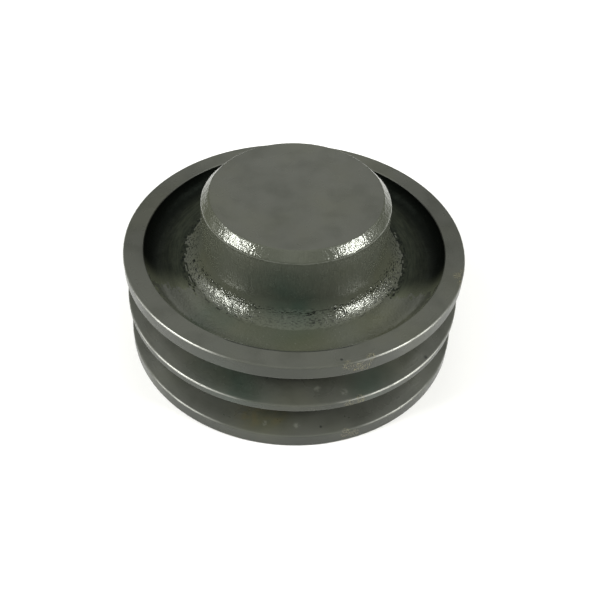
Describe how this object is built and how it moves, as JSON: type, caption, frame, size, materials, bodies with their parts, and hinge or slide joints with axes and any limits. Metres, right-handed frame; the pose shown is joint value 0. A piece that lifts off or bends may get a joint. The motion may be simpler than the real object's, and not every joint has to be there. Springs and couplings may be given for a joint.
{
  "type": "v belt pulley",
  "caption": "V-belt pulley with parallel grooves, a shallow front recess and a one-sided solid hub with a blind keyed bore clamped by radial grub screws.",
  "frame": {"origin": "centre of the back face, on the pulley's axis", "axes": "+Z along the pulley's axis towards the hub's closed end; the screws and the keyway are on the +Y side, at 45 and 135 degrees from +X"},
  "size_m": [0.15, 0.15, 0.076],
  "materials": {
    "casting": "glossy dark grey-green machine enamel over grey cast iron",
    "screw": "black-oxidised alloy steel, lightly oiled"
  },
  "bodies": {
    "pulley": {"pulley_casting": "casting"},
    "keyway_screw": {"keyway_grub_screw": "screw"},
    "shaft_screw": {"shaft_grub_screw": "screw"}
  },
  "joints": [
    {"name": "keyway_screw_travel", "type": "slide", "parent": "pulley", "child": "keyway_screw", "axis": [-0.7071, 0.7071, 0], "range_m": [-0.0015, 0.0045]},
    {"name": "shaft_screw_travel", "type": "slide", "parent": "pulley", "child": "shaft_screw", "axis": [0.7071, 0.7071, 0], "range_m": [-0.0015, 0.0045]}
  ]
}
